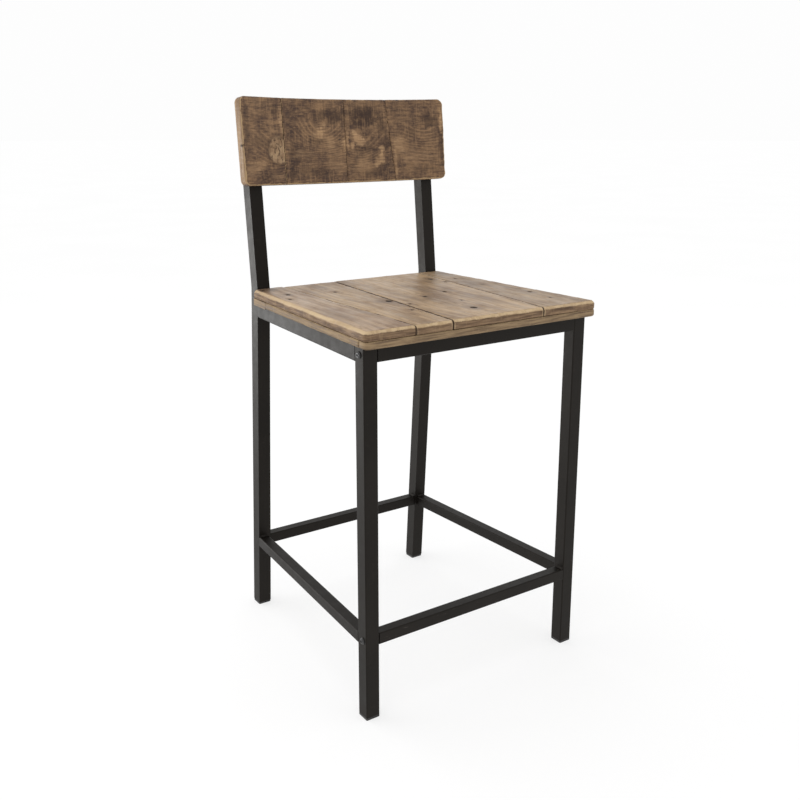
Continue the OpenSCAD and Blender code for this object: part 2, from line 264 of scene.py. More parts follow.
STEEL_BASE = (0.0042, 0.0032, 0.0025)
STEEL_LIFT = (0.0075, 0.0060, 0.0048)
steel = powder_coat("frame_powder_coat", STEEL_BASE, STEEL_LIFT, 0.50)
tread = powder_coat("footrest_powder_coat", STEEL_BASE, STEEL_LIFT, 0.46, 1.0, 0.9)
weld = powder_coat("weld_coat", (0.010, 0.009, 0.008), (0.018, 0.016, 0.014), 0.6, 4.0)
plug = plastic("black_plug", (0.012, 0.012, 0.012))
oxide = black_oxide("black_oxide")
zinc = bare_steel("zinc_plate")


# ---------------------------------------------------------------- wood materials
def phase_bump(m, vec, centre, radii, height):
    """A smooth hill added to the ring phase, whose contours wrap a knot."""
    d = m.vmath("SUBTRACT", vec, centre)
    d = m.vmath("LENGTH", m.vmath("MULTIPLY", d, tuple(1.0 / r for r in radii)))
    return m.math("MULTIPLY", m.math("EXPONENT", m.math("MULTIPLY", m.math("MULTIPLY", d, d), -1.0)), height)


def seat_wood(name, seed, tones, sides, knots, holes, stains):
    """Worn pine, grain along Y. Positions are metres from the front middle of the seat."""
    m = Mat(name)
    p = m.vmath("MULTIPLY", m.vmath("SUBTRACT", m.coord, SEAT_ORIGIN), (1.0, 1.0, 0.0))
    s = (seed * 3.71, seed * 1.93, seed * 0.77)
    wander = m.noise(m.scaled((6.0, 1.6, 6.0), s, p), 1.0, 2.0, 0.5)
    swirl = m.noise(m.scaled((16.0, 3.0, 16.0), s, p), 1.0, 3.0, 0.5)
    phase = m.math("MULTIPLY", m.xyz(p)[0], 420.0)
    phase = m.math("ADD", phase, m.math("MULTIPLY", wander, 60.0))
    phase = m.math("ADD", phase, m.math("MULTIPLY", swirl, 7.0))
    for cx, cy, size in knots:
        phase = m.math("ADD", phase, phase_bump(m, p, (cx, cy, 0), (size * 2.4, size * 7.0, 1.0), 16.0))
    late = m.math("POWER", m.math("MULTIPLY", m.math("ADD", m.math("SINE", phase), 1.0), 0.5), 3.0)
    fibre = m.noise(m.scaled((330.0, 9.0, 200.0), s), 1.0, 3.0, 0.62)
    pores = m.noise(m.scaled((900.0, 40.0, 300.0), s), 1.0, 2.0, 0.6)
    streak = m.noise(m.scaled((95.0, 3.5, 60.0), s), 1.0, 4.0, 0.6)
    patch = m.noise(m.scaled((12.0, 5.0, 12.0), s), 1.0, 5.0, 0.6)
    dirt = m.noise(m.scaled((60.0, 26.0, 60.0), s), 1.0, 5.0, 0.68)
    dark, mid, light = (tuple(c * k for c, k in zip(tone, TONE_TRIM)) for tone in tones)
    col = m.ramp(m.step(patch, 0.30, 0.68), [(0.0, dark), (0.42, mid), (1.0, light)])
    col = m.mix(m.step(streak, 0.50, 0.70, 0.0, 0.6), col, light)
    col = m.mix(m.step(streak, 0.34, 0.48, 0.45, 0.0), col, dark)
    col = m.mix(m.math("MULTIPLY", late, 0.30), col, tuple(c * 0.62 for c in dark))
    col = m.mix(m.step(fibre, 0.52, 0.70, 0.0, 0.55), col, tuple(c * 0.55 for c in mid))
    col = m.mix(m.step(pores, 0.60, 0.72, 0.0, 0.5), col, tuple(c * 0.40 for c in dark))
    col = m.mix(m.step(dirt, 0.58, 0.72, 0.0, 0.6), col, tuple(c * 0.66 for c in dark))
    ragged = m.math("MULTIPLY", m.math("SUBTRACT", dirt, 0.5), 1.3)
    ragged = m.math("ADD", ragged, m.math("MULTIPLY", m.math("SUBTRACT", fibre, 0.5), 1.1))
    for cx, cy, rx, ry, depth in stains:
        b = m.blob(p, (cx, cy, 0), (rx, ry, 1.0), ragged, 0.7)
        col = m.mix(m.math("MULTIPLY", b, depth), col, (0.085, 0.052, 0.032))
    pit = 0.0
    for cx, cy, size in knots:
        halo = m.blob(p, (cx, cy, 0), (size * 2.6, size * 4.6, 1.0), ragged, 0.6)
        col = m.mix(m.math("MULTIPLY", halo, 0.55), col, (0.135, 0.080, 0.042))
        core = m.blob(p, (cx, cy, 0), (size, size * 1.35, 1.0), m.math("MULTIPLY", ragged, 0.5), 0.3)
        col = m.mix(core, col, m.mix(m.step(fibre, 0.45, 0.6), (0.012, 0.008, 0.006), (0.045, 0.026, 0.015)))
        pit = m.math("MAXIMUM", pit, core)
    for cx, cy, size in holes:
        halo = m.blob(p, (cx, cy, 0), (size * 2.2, size * 3.6, 1.0), ragged, 0.6)
        col = m.mix(m.math("MULTIPLY", halo, 0.6), col, (0.10, 0.062, 0.038))
        # painted shade: the hole itself is coloured near black, standing in for the dark inside it
        core = m.blob(p, (cx, cy, 0), (size * 0.9, size * 1.15, 1.0), m.math("MULTIPLY", ragged, 0.4), 0.2)
        col = m.mix(core, col, (0.006, 0.004, 0.003))
        pit = m.math("MAXIMUM", pit, core)
    # sawn sides: browner, with streaks along the edge
    flat = m.step(m.normal_axis(2), 0.30, 0.62)
    band = m.noise(m.scaled((22.0, 22.0, 330.0), s), 1.0, 4.0, 0.62)
    saw = m.noise(m.scaled((300.0, 90.0, 60.0), s), 1.0, 3.0, 0.6)
    sawn = [(0.0, (0.090, 0.052, 0.029)), (0.5, (0.155, 0.095, 0.053)), (1.0, (0.255, 0.165, 0.092))]
    side = m.ramp(m.step(band, 0.32, 0.68), sawn)
    side = m.mix(m.step(saw, 0.54, 0.70, 0.0, 0.5), side, (0.27, 0.18, 0.10))
    col = m.mix(flat, side, col)
    # rubbed arrises: pale and clean, broken by the grain
    rub = m.math("ADD", m.attr("wear"), m.math("MULTIPLY", m.math("SUBTRACT", fibre, 0.5), 0.7))
    rub = m.math("ADD", rub, m.math("MULTIPLY", m.math("SUBTRACT", dirt, 0.5), 0.9))
    pale = m.mix(m.step(streak, 0.4, 0.62), (0.55, 0.405, 0.235), (0.43, 0.30, 0.165))
    col = m.mix(m.step(rub, 0.30, 0.66, 0.0, 0.92), col, pale)
    # painted shade along the joints, and a paler rub beside them
    for which, line in enumerate(sides):
        if line is None:
            continue
        run = (line[1] - line[0]) / (SEAT_HI.y - SEAT_LO.y)
        at = m.math("ADD", line[0], m.math("MULTIPLY", m.xyz(p)[1], run))
        d = m.math("MULTIPLY", m.math("SUBTRACT", m.xyz(p)[0], at), 1.0 if which == 0 else -1.0)
        d = m.math("ADD", d, m.math("MULTIPLY", m.math("SUBTRACT", dirt, 0.5), 0.005))
        pale_by = m.math("MULTIPLY", m.step(d, 0.0020, 0.0046, 0.6, 0.0), m.step(patch, 0.4, 0.6))
        col = m.mix(pale_by, col, (0.50, 0.36, 0.21))
        # painted shade: a dark line over the joint gap and its rounded edges
        col = m.mix(m.step(d, 0.0010, 0.0022, 0.86, 0.0), col, (0.050, 0.029, 0.018))
    # painted shade: the marked joint gap walls are coloured near black
    col = m.mix(m.attr("recess_shade"), col, (0.026, 0.016, 0.011))
    rough = m.math("ADD", SEAT_GLOSS, m.math("MULTIPLY", m.step(dirt, 0.3, 0.75), 0.2))
    rough = m.math("ADD", rough, m.math("MULTIPLY", m.math("SUBTRACT", 1.0, flat), 0.3))
    rough = m.math("ADD", rough, m.math("MULTIPLY", pit, 0.5), clamp=True)
    n = m.bump(fibre, 0.0007, 0.4)
    n = m.bump(late, 0.0006, 0.25, n)
    n = m.bump(dirt, 0.0015, 0.22, n)
    return m.finish(col, rough, n, specular=0.3)


def batten_wood(name, seed):
    """Sawn pine strips under the planks."""
    m = Mat(name)
    s = (seed * 2.3, seed * 1.1, seed)
    g = m.noise(m.scaled((20.0, 20.0, 300.0), s), 1.0, 4.0, 0.62)
    saw = m.noise(m.scaled((260.0, 260.0, 50.0), s), 1.0, 3.0, 0.6)
    patch = m.noise(m.scaled((18.0, 18.0, 30.0), s), 1.0, 4.0, 0.6)
    sawn = [(0.0, (0.110, 0.068, 0.036)), (0.5, (0.200, 0.132, 0.070)), (1.0, (0.30, 0.208, 0.115))]
    col = m.ramp(m.step(g, 0.3, 0.7), sawn)
    col = m.mix(m.step(patch, 0.5, 0.75, 0.0, 0.45), col, (0.105, 0.066, 0.036))
    col = m.mix(m.step(saw, 0.55, 0.8, 0.0, 0.4), col, (0.32, 0.225, 0.125))
    rub = m.math("ADD", m.attr("wear"), m.math("MULTIPLY", m.math("SUBTRACT", saw, 0.5), 0.8))
    col = m.mix(m.step(rub, 0.35, 0.75, 0.0, 0.6), col, (0.38, 0.27, 0.15))
    # painted shade: marked joint gap walls are coloured near black
    col = m.mix(m.attr("recess_shade"), col, (0.030, 0.020, 0.014))
    n = m.bump(saw, 0.0006, 0.35)
    n = m.bump(g, 0.0005, 0.3, n)
    return m.finish(col, m.step(g, 0.3, 0.7, 0.58, 0.78), n, specular=0.35)


def back_wood(name, seed, rings, patches, stains, knots, pale_end, tone):
    """Dark stained board. Positions are metres from the lower left corner of the whole back."""
    m = Mat(name)
    p = m.vmath("MULTIPLY", m.vmath("SUBTRACT", m.coord, BACK_ORIGIN), (1.0, 0.0, 1.0))
    s = (seed * 2.17, seed * 0.9, seed * 3.3)
    rough_p = m.warp(p, 75.0, (0.011, 0.0, 0.009))
    wander = m.noise(m.scaled((5.0, 0.0, 12.0), s, p), 1.0, 2.0, 0.5)
    swirl = m.noise(m.scaled((40.0, 0.0, 70.0), s, p), 1.0, 3.0, 0.6)
    phase = m.math("MULTIPLY", m.xyz(p)[2], 820.0)
    phase = m.math("ADD", phase, m.math("MULTIPLY", wander, 40.0))
    phase = m.math("ADD", phase, m.math("MULTIPLY", swirl, 4.5))
    for cx, cz, rx, rz, height in rings:
        phase = m.math("ADD", phase, phase_bump(m, p, (cx, 0, cz), (rx, 1.0, rz), height))
    ring = m.math("MULTIPLY", m.math("ADD", m.math("SINE", phase), 1.0), 0.5)
    along = m.noise(m.scaled((28.0, 60.0, 290.0), s), 1.0, 4.0, 0.66)
    fine = m.noise(m.scaled((120.0, 60.0, 640.0), s), 1.0, 3.0, 0.62)
    across = m.noise(m.scaled((320.0, 60.0, 26.0), s), 1.0, 4.0, 0.64)
    patch = m.noise(m.scaled((19.0, 20.0, 17.0), s), 1.0, 5.0, 0.64)
    cloud = m.noise(m.scaled((75.0, 30.0, 85.0), s), 1.0, 5.0, 0.7)
    dark, mid, light = (tuple(c * tone for c in stain) for stain in BACK_TONES)
    col = m.ramp(m.step(patch, 0.20, 0.78), [(0.0, dark), (0.42, mid), (1.0, light)])
    col = m.mix(m.step(cloud, 0.50, 0.68, 0.0, 0.5), col, light)
    col = m.mix(m.step(cloud, 0.32, 0.50, 0.42, 0.0), col, dark)
    col = m.mix(m.step(along, 0.50, 0.64, 0.0, 0.66), col, dark)
    col = m.mix(m.step(along, 0.36, 0.46, 0.35, 0.0), col, light)
    col = m.mix(m.step(fine, 0.53, 0.64, 0.0, 0.5), col, light)
    col = m.mix(m.step(fine, 0.36, 0.46, 0.35, 0.0), col, dark)
    col = m.mix(m.step(across, 0.54, 0.66, 0.0, SAW_MARKS + 0.1), col, light)
    col = m.mix(m.step(across, 0.34, 0.45, SAW_MARKS, 0.0), col, dark)
    # thin growth rings, showing only here and there
    shown = m.step(m.math("ADD", m.math("MULTIPLY", patch, 0.6), m.math("MULTIPLY", cloud, 0.4)), 0.40, 0.56)
    near = 0.24
    for cx, cz, rx, rz, height in rings:
        zone = m.blob(p, (cx, 0, cz), (rx * 1.15, 1.0, rz * 1.1), m.math("SUBTRACT", swirl, 0.5), 0.7)
        near = m.math("MAXIMUM", near, m.math("MULTIPLY", zone, 0.8))
    col = m.mix(m.math("MULTIPLY", m.math("MULTIPLY", m.math("POWER", ring, 5.0), shown), near), col, light)
    col = m.mix(m.math("MULTIPLY", m.math("POWER", m.math("SUBTRACT", 1.0, ring), 6.0), 0.20), col, dark)
    ragged = m.math("MULTIPLY", m.math("SUBTRACT", cloud, 0.5), 2.2)
    ragged = m.math("ADD", ragged, m.math("MULTIPLY", m.math("SUBTRACT", across, 0.5), 1.6))
    ragged = m.math("ADD", ragged, m.math("MULTIPLY", m.math("SUBTRACT", along, 0.5), 0.9))
    for cx, cz, rx, rz, depth in stains:
        b = m.blob(rough_p, (cx, 0, cz), (rx, 1.0, rz), ragged, 0.75)
        col = m.mix(m.math("MULTIPLY", b, depth), col, (0.034, 0.018, 0.013))
    for cx, cz, rx, rz, depth in patches:
        b = m.blob(rough_p, (cx, 0, cz), (rx, 1.0, rz), ragged, 0.7)
        tan = m.mix(m.step(along, 0.4, 0.6), (0.50, 0.315, 0.165), (0.33, 0.200, 0.105))
        col = m.mix(m.math("MULTIPLY", b, depth), col, tan)
    for cx, cz, rx, rz in knots:
        knot_rag = m.math("MULTIPLY", ragged, 0.12)
        rim = m.blob(rough_p, (cx, 0, cz), (rx * 1.35, 1.0, rz * 1.25), knot_rag, 0.35)
        col = m.mix(m.math("MULTIPLY", rim, 0.75), col, (0.050, 0.028, 0.019))
        core = m.blob(m.warp(p, 60.0, (0.004, 0.0, 0.004)), (cx, 0, cz), (rx, 1.0, rz), knot_rag, 0.18)
        heart = m.mix(m.step(cloud, 0.38, 0.62), (0.41, 0.275, 0.155), (0.27, 0.170, 0.095))
        heart = m.mix(m.step(across, 0.5, 0.7, 0.0, 0.7), heart, (0.13, 0.072, 0.038))
        col = m.mix(m.math("MULTIPLY", core, 0.92), col, heart)
        vein = m.noise(m.scaled((95.0, 0.0, 38.0), s, p), 1.0, 2.0, 0.6)
        vein = m.step(m.math("ABSOLUTE", m.math("SUBTRACT", vein, 0.5)), 0.0, 0.035, 1.0, 0.0)
        col = m.mix(m.math("MULTIPLY", m.math("MULTIPLY", vein, core), 0.8), col, (0.026, 0.014, 0.010))
    rub = m.math("ADD", m.attr("wear"), m.math("MULTIPLY", m.math("SUBTRACT", cloud, 0.5), 1.1))
    rub = m.math("ADD", rub, m.math("MULTIPLY", m.math("SUBTRACT", along, 0.5), 0.5))
    col = m.mix(m.step(rub, 0.36, 0.68, 0.0, 0.88), col, (0.43, 0.295, 0.160))
    if pale_end:
        endwise = m.step(m.math("MULTIPLY", m.normal_axis(0), -1.0), 0.55, 0.85)
        streak = m.noise(m.scaled((90.0, 300.0, 16.0), s), 1.0, 4.0, 0.62)
        tan = m.mix(m.step(streak, 0.38, 0.62), (0.33, 0.215, 0.118), (0.19, 0.115, 0.062))
        col = m.mix(m.math("MULTIPLY", endwise, pale_end), col, tan)
    # painted shade: marked joint gap walls and dent hollows are coloured near black
    col = m.mix(m.attr("recess_shade"), col, (0.020, 0.012, 0.009))
    n = m.bump(along, 0.0009, 0.35)
    n = m.bump(across, 0.0007, 0.35, n)
    n = m.bump(ring, 0.0006, 0.2, n)
    n = m.bump(cloud, 0.0015, 0.2, n)
    return m.finish(col, m.step(cloud, 0.3, 0.75, 0.46, 0.70), n, specular=0.22)


# ---------------------------------------------------------------- worn wood pieces
def wob(x, y, z, scale, seed=0.0):
    return noise.noise(Vector((x * scale + seed * 7.3, y * scale + seed * 3.1, z * scale + seed * 5.7)))


def wob_all(P, scale, seed=0.0):
    return np.array([wob(a, b, c, scale, seed) for a, b, c in P])


def dense_copy(node, name, voxel):
    """A fine even mesh of a CAD node, to be worn by hand below."""
    src = NODES[node]
    o = bpy.data.objects.new(name, src.data.copy())
    bpy.context.collection.objects.link(o)
    mod = o.modifiers.new("even", "REMESH")
    mod.mode = "VOXEL"
    mod.voxel_size = voxel
    mod.use_smooth_shade = True
    graph = bpy.context.evaluated_depsgraph_get()
    mesh = bpy.data.meshes.new_from_object(o.evaluated_get(graph))
    o.modifiers.clear()
    o.data = mesh
    mesh.materials.clear()
    for poly in mesh.polygons:
        poly.use_smooth = True
    return o


def verts(o):
    a = np.empty(len(o.data.vertices) * 3)
    o.data.vertices.foreach_get("co", a)
    return a.reshape(-1, 3)


def put_back(o, P, wear, recess_shade):
    o.data.vertices.foreach_set("co", P.ravel())
    for name, v in (("wear", wear), ("recess_shade", recess_shade)):
        values = np.clip(v, 0, 1).astype(np.float32)
        o.data.attributes.new(name, "FLOAT", "POINT").data.foreach_set("value", values)
    o.data.update()


def arris(P, wear, da, na, db, nb, r, p=1.4, show=1.0):
    """Rounds the edge between faces a and b.

    da, db: depth below each face; na, nb: their outward normals; r: radius; p: roundness; show: how pale.
    """
    qa, qb = np.clip(r - da, 0, None), np.clip(r - db, 0, None)
    length = (qa ** p + qb ** p) ** (1 / p)
    near = (qa > 0) & (qb > 0)
    k = np.where(near & (length > r), 1 - r / np.maximum(length, 1e-9), 0.0)
    P -= (na * (qa * k)[:, None]) + (nb * (qb * k)[:, None])
    edge = np.clip(1.25 - np.maximum(da, db) / r, 0, 1) * (np.maximum(da, db) < r * 1.25)
    np.maximum(wear, edge * show, out=wear)


def square_up(P, da, na, db, nb, reach):
    """Pushes points near the edge of two faces back out onto both, so that joints stay crisp."""
    near = (da < reach) & (db < reach) & (da > -reach) & (db > -reach)
    to_a = np.where(near & (da <= db), da, 0.0)[:, None]
    to_b = np.where(near & (db <= da), db, 0.0)[:, None]
    P += na * to_a + nb * to_b
    both = near & (np.abs(da - db) < reach * 0.4)
    to_a = np.where(both & (da > db), da, 0.0)[:, None]
    to_b = np.where(both & (db > da), db, 0.0)[:, None]
    P += na * to_a + nb * to_b


def outline_depth(u, v, half_u, half_v, r):
    """Depth inside a rounded rectangle, and the outward direction in its plane."""
    qu, qv = np.abs(u) - half_u + r, np.abs(v) - half_v + r
    cu, cv = np.clip(qu, 0, None), np.clip(qv, 0, None)
    length = np.hypot(cu, cv)
    depth = r - length - np.minimum(np.maximum(qu, qv), 0)
    side = length < 1e-9
    du = np.where(side, (qu > qv).astype(float), cu / np.maximum(length, 1e-9))
    dv = np.where(side, (qu <= qv).astype(float), cv / np.maximum(length, 1e-9))
    return depth, du * np.sign(u), dv * np.sign(v)


SEAT_LO = Vector(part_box("seat_edge_front")[0])
PLANK_LO, PLANK_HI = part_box("seat_plank_3")
SEAT_HI = Vector((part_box("seat_edge_front")[1][0], PLANK_HI[1], PLANK_HI[2]))
SEAT_ORIGIN = (0.0, SEAT_LO.y, SEAT_HI.z)
SEAT_SLOPE = (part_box("front_leg_right")[1][0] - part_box("rear_leg_right")[1][0]) / (SEAT_HI.y - SEAT_LO.y)
PLANK_LOW = PLANK_LO[2]
board_2_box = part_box("back_board_2")
BACK_Z = board_2_box[0][2] + (BACK_SET + BACK_T) * math.sin(LEAN)
BACK_Y = board_2_box[1][1] - (BACK_SET + BACK_T) * math.cos(LEAN) - BACK_H * math.sin(LEAN)
BACK_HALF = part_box("back_board_4")[1][0]
BACK_ORIGIN = (-BACK_HALF, BACK_Y, BACK_Z)
UP = np.array([0.0, 0.0, 1.0])


def worn_seat_piece(node, name, voxel, top, low, seed, wear_r, drop=0.0, dents=(), sides=(None, None)):
    """sides: (front x, rear x) of the left and of the right joint, or None at the seat's own edge."""
    o = dense_copy(node, name, voxel)
    P = verts(o)
    wear, recess_shade = np.zeros(len(P)), np.zeros(len(P))
    mid_y, half_y = (SEAT_LO.y + SEAT_HI.y) / 2, (SEAT_HI.y - SEAT_LO.y) / 2
    rag = wob_all(P * (1, 1, 0), 35.0, seed)
    rag2 = wob_all(P * (1, 1, 0), 130.0, seed + 2)
    rag3 = wob_all(P, 12.0, seed + 4)
    # the seat narrows to the rear: the sides lean in by SEAT_SLOPE
    lean_in = np.sign(P[:, 0]) * SEAT_SLOPE * (P[:, 1] - SEAT_LO.y)
    depth, du, dv = outline_depth(P[:, 0] + lean_in, P[:, 1] - mid_y, SEAT_HI.x, half_y, SEAT_CORNER)
    n_out = np.stack([du, dv + np.abs(du) * SEAT_SLOPE, np.zeros(len(P))], 1)
    front = (dv < -0.5).astype(float)
    r_nose, r_side, r_low, r_joint = wear_r
    r = r_side + (r_nose - r_side) * front
    r = r * np.clip(1.0 + 0.26 * rag + 0.14 * rag2, 0.5, 1.5)
    d_top, d_low = top - P[:, 2], P[:, 2] - low
    arris(P, wear, d_top, np.tile(UP, (len(P), 1)), depth, n_out, r, 1.25)
    arris(P, wear, d_low, np.tile(-UP, (len(P), 1)), depth, n_out, np.full(len(P), r_low), 1.6, 0.35)
    for which, line in enumerate(sides):
        if line is None:
            continue
        run = (line[1] - line[0]) / (SEAT_HI.y - SEAT_LO.y)
        across = (P[:, 0] - line[0] - run * (P[:, 1] - SEAT_LO.y)) / math.hypot(1, run)
        d = across if which == 0 else -across
        out = np.array([-1.0, run, 0]) / math.hypot(1, run) * (1 if which == 0 else -1)
        rj = r_joint * np.clip(1.0 + 0.7 * rag + 0.5 * rag2, 0.25, 2.2)
        before = P.copy()
        light = 0.42 + 0.45 * np.clip(rag3, -1, 1)
        square_up(P, d_top, np.tile(UP, (len(P), 1)), d, np.tile(out, (len(P), 1)), voxel * 0.7)
        d_top = top - P[:, 2]
        d = d - ((P - before) * out).sum(1)
        arris(P, wear, d_top, np.tile(UP, (len(P), 1)), d, np.tile(out, (len(P), 1)), rj, 1.5, light)
        # painted shade: the walls of each joint gap, below the top face, are marked to be coloured dark
        inside = np.clip((depth - 0.004) / 0.004, 0, 1)
        recess_shade = np.maximum(recess_shade, np.clip((d_top - 0.0003) / 0.0010, 0, 1) * (d < 0.0017) * inside)
    surface = (d_top < TOUCH).astype(float)
    P[:, 2] += surface * (0.00030 * rag3 + 0.00012 * rag)
    ends = (np.abs(dv) > 0.5) & (depth < 0.004)
    if sides != (None, None):
        P[:, 1] += np.where(ends, -dv * (0.0007 * np.abs(rag) + 0.0004 * rag2), 0.0)
    for cx, cy, size, deep in dents:
        d = np.hypot(P[:, 0] - cx, P[:, 1] - SEAT_LO.y - cy)
        P[:, 2] -= deep * np.exp(-(d / size) ** 2) * (d_top < 0.004)
    P[:, 2] -= drop * np.clip(1 - d_top / (top - low), 0, 1)
    put_back(o, P, wear, recess_shade)
    return o


def join_piece(o, node, mat):
    o.data.materials.append(mat)
    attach(o, "root")
    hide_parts(node)


def between(left, right, gap):
    """Both ends of the joint between two neighbours, the one further right first, from their boxes."""
    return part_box(left)[1][0] + gap / 2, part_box(right)[0][0] - gap / 2


def placed(rows, ends, length):
    """Rows whose first two numbers are shares of a piece's width and length, turned to metres."""
    (left_0, left_1), (right_0, right_1) = ends
    out = []
    for across, along, *rest in rows:
        left = left_0 + (left_1 - left_0) * along
        right = right_0 + (right_1 - right_0) * along
        out.append((left + (right - left) * across, length * along, *rest))
    return out


# plank joints: x at the front edge, x at the rear edge
SEAT_LENGTH = SEAT_HI.y - SEAT_LO.y
SEAT_REAR_X = SEAT_HI.x - SEAT_SLOPE * SEAT_LENGTH
JOINT_1 = between("seat_plank_1", "seat_plank_2", PLANK_GAP)
JOINT_2 = between("seat_plank_2", "seat_plank_3", PLANK_GAP)[::-1]
JOINT_3 = between("seat_plank_3", "seat_plank_4", PLANK_GAP)[::-1]
SEAT_RIMS = ((-SEAT_HI.x, -SEAT_REAR_X), (SEAT_HI.x, SEAT_REAR_X))
TONES_1 = ((0.222, 0.142, 0.088), (0.360, 0.254, 0.166), (0.490, 0.368, 0.255))
TONES_2 = ((0.196, 0.119, 0.062), (0.325, 0.218, 0.122), (0.460, 0.330, 0.198))
TONES_3 = ((0.200, 0.124, 0.066), (0.340, 0.230, 0.131), (0.480, 0.346, 0.210))
TONES_4 = ((0.172, 0.109, 0.060), (0.280, 0.192, 0.112), (0.400, 0.290, 0.180))
# Every place is a share of the plank: across from its left edge, back from its front end.
# knots and holes: across, back, size; stains: across, back, half width, half length, depth
PLANKS = [
    ("seat_plank_1", 1, TONES_1, (None, JOINT_1), 0.0,
     [(0.25, 0.7, 0.0035)], [(0.5, 0.8, 0.0046), (0.2, 0.95, 0.0034)],
     [(0.3, 0.95, 0.030, 0.030, 0.70), (0.9, 0.3, 0.007, 0.080, 0.45), (0.3, 0.3, 0.020, 0.060, 0.25)]),
    ("seat_plank_2", 2, TONES_2, (JOINT_1, JOINT_2), 0.0006,
     [(0.9, 0.45, 0.0060), (0.5, 0.75, 0.0035)], [(0.85, 0.25, 0.0030)],
     [(0.75, 0.45, 0.012, 0.020, 0.45), (0.35, 0.1, 0.012, 0.050, 0.35), (0.5, 0.9, 0.014, 0.040, 0.35)]),
    ("seat_plank_3", 3, TONES_3, (JOINT_2, JOINT_3), 0.0,
     [(0.45, 0.15, 0.0058), (0.35, 0.45, 0.0040), (0.65, 0.5, 0.0042), (0.9, 0.8, 0.0050)],
     [(0.05, 0.35, 0.0030), (0.55, 0.3, 0.0024), (0.95, 0.7, 0.0036)],
     [(0.85, 0.75, 0.024, 0.050, 0.30), (0.5, 0.65, 0.022, 0.060, 0.35), (0.35, 0.3, 0.016, 0.050, 0.35),
      (0.75, 0.3, 0.024, 0.060, 0.25), (0.2, 0.5, 0.010, 0.070, 0.30)]),
    ("seat_plank_4", 4, TONES_4, (JOINT_3, None), 0.0003,
     [(0.7, 0.3, 0.0042)], [(0.4, 0.75, 0.0028), (0.6, 0.15, 0.0024)],
     [(0.7, 0.4, 0.007, 0.050, 0.60), (0.6, 0.9, 0.026, 0.036, 0.45)]),
]
for node, seed, tones, sides, drop, knots, holes, stains in PLANKS:
    ends = [line or rim for line, rim in zip(sides, SEAT_RIMS)]
    knots, holes, stains = (placed(rows, ends, SEAT_LENGTH) for rows in (knots, holes, stains))
    dents = [(x, y, s * 0.9, 0.0022) for x, y, s in holes] + [(x, y, s * 0.9, 0.0012) for x, y, s in knots]
    piece = worn_seat_piece(node, "worn_" + node, VOXEL_SEAT, SEAT_HI.z, PLANK_LOW, seed,
                            SEAT_WEAR, drop, dents, sides)
    mat = seat_wood(node + "_pine", seed, tones, sides, knots, holes, stains)
    join_piece(piece, node, mat)

for i, node in enumerate(("seat_edge_front", "seat_batten_front", "seat_batten_left", "seat_batten_right")):
    piece = worn_seat_piece(node, "worn_" + node, VOXEL_SEAT, PLANK_LOW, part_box(node)[0][2], 11 + i,
                            BATTEN_WEAR)
    join_piece(piece, node, batten_wood(node + "_pine", 3 + i))


def worn_back_board(node, name, seed, sides, marks=()):
    o = dense_copy(node, name, VOXEL_BACK)
    P = verts(o)
    wear, recess_shade = np.zeros(len(P)), np.zeros(len(P))
    c, s = math.cos(LEAN), math.sin(LEAN)
    y, z = P[:, 1] - BACK_Y, P[:, 2] - BACK_Z
    L = np.stack([P[:, 0], y * c - z * s, y * s + z * c], 1)
    axis_y = BACK_SET - BACK_R
    rho = np.hypot(L[:, 0], L[:, 1] - axis_y)
    rad = np.stack([L[:, 0] / rho, (L[:, 1] - axis_y) / rho, np.zeros(len(P))], 1)
    d_front, d_rear = rho - BACK_R, BACK_R + BACK_T - rho
    depth, du, dz = outline_depth(L[:, 0], L[:, 2] - BACK_H / 2, BACK_HALF, BACK_H / 2, BACK_CORNER)
    n_out = np.stack([du, np.zeros(len(P)), dz], 1)
    rag = wob_all(L, 40.0, seed)
    rag2 = wob_all(L, 140.0, seed + 2)
    rag3 = wob_all(L, 14.0, seed + 5)
    low_or_end = np.where((dz < -0.5) | (np.abs(du) > 0.5), 1.0, 0.45)
    r = BACK_EDGE * np.clip(1 + 0.6 * rag + 0.4 * rag2, 0.35, 2.0) * (0.7 + 0.6 * low_or_end)
    arris(L, wear, d_front, -rad, depth, n_out, r, 1.5, low_or_end)
    arris(L, wear, d_rear, rad, depth, n_out, np.full(len(P), BACK_REAR_EDGE), 1.7, 0.3)
    for which, (low, high, joint_shade, show) in enumerate(sides):
        if low is None:
            continue
        x = low + (high - low) * L[:, 2] / BACK_H
        d = (L[:, 0] - x) * (1 if which == 0 else -1)
        out = np.tile(np.array([-1.0 if which == 0 else 1.0, 0, 0]), (len(P), 1))
        before = L.copy()
        square_up(L, d_front, -rad, d, out, VOXEL_BACK * 0.7)
        d = d - ((L - before) * out).sum(1)
        d_front = d_front + ((L - before) * rad).sum(1)
        arris(L, wear, d_front, -rad, d, out, BACK_JOINT_EDGE * np.clip(1 + 0.8 * rag, 0.3, 2), 1.6, show)
        # painted shade down the walls of each joint gap
        recess_shade = np.maximum(recess_shade, np.clip((d_front - 0.0004) / 0.0010, 0, 1) * (d < 0.0008) * joint_shade)
    face = (d_front < TOUCH).astype(float)
    L -= rad * (-(0.00035 * rag3 + 0.00012 * rag) * face)[:, None]
    for cx, cz, size, deep in marks:
        d = np.hypot(L[:, 0] + BACK_HALF - cx, (L[:, 2] - cz) * 1.6)
        L += rad * (deep * np.exp(-(d / size) ** 2) * (d_front < 0.006))[:, None]
        # painted shade in the hollow of each dent
        recess_shade = np.maximum(recess_shade, np.exp(-(d / (size * 0.9)) ** 4) * (d_front < 0.010))
    P = np.stack([L[:, 0], L[:, 1] * c + L[:, 2] * s + BACK_Y, -L[:, 1] * s + L[:, 2] * c + BACK_Z], 1)
    put_back(o, P, wear, recess_shade)
    return o


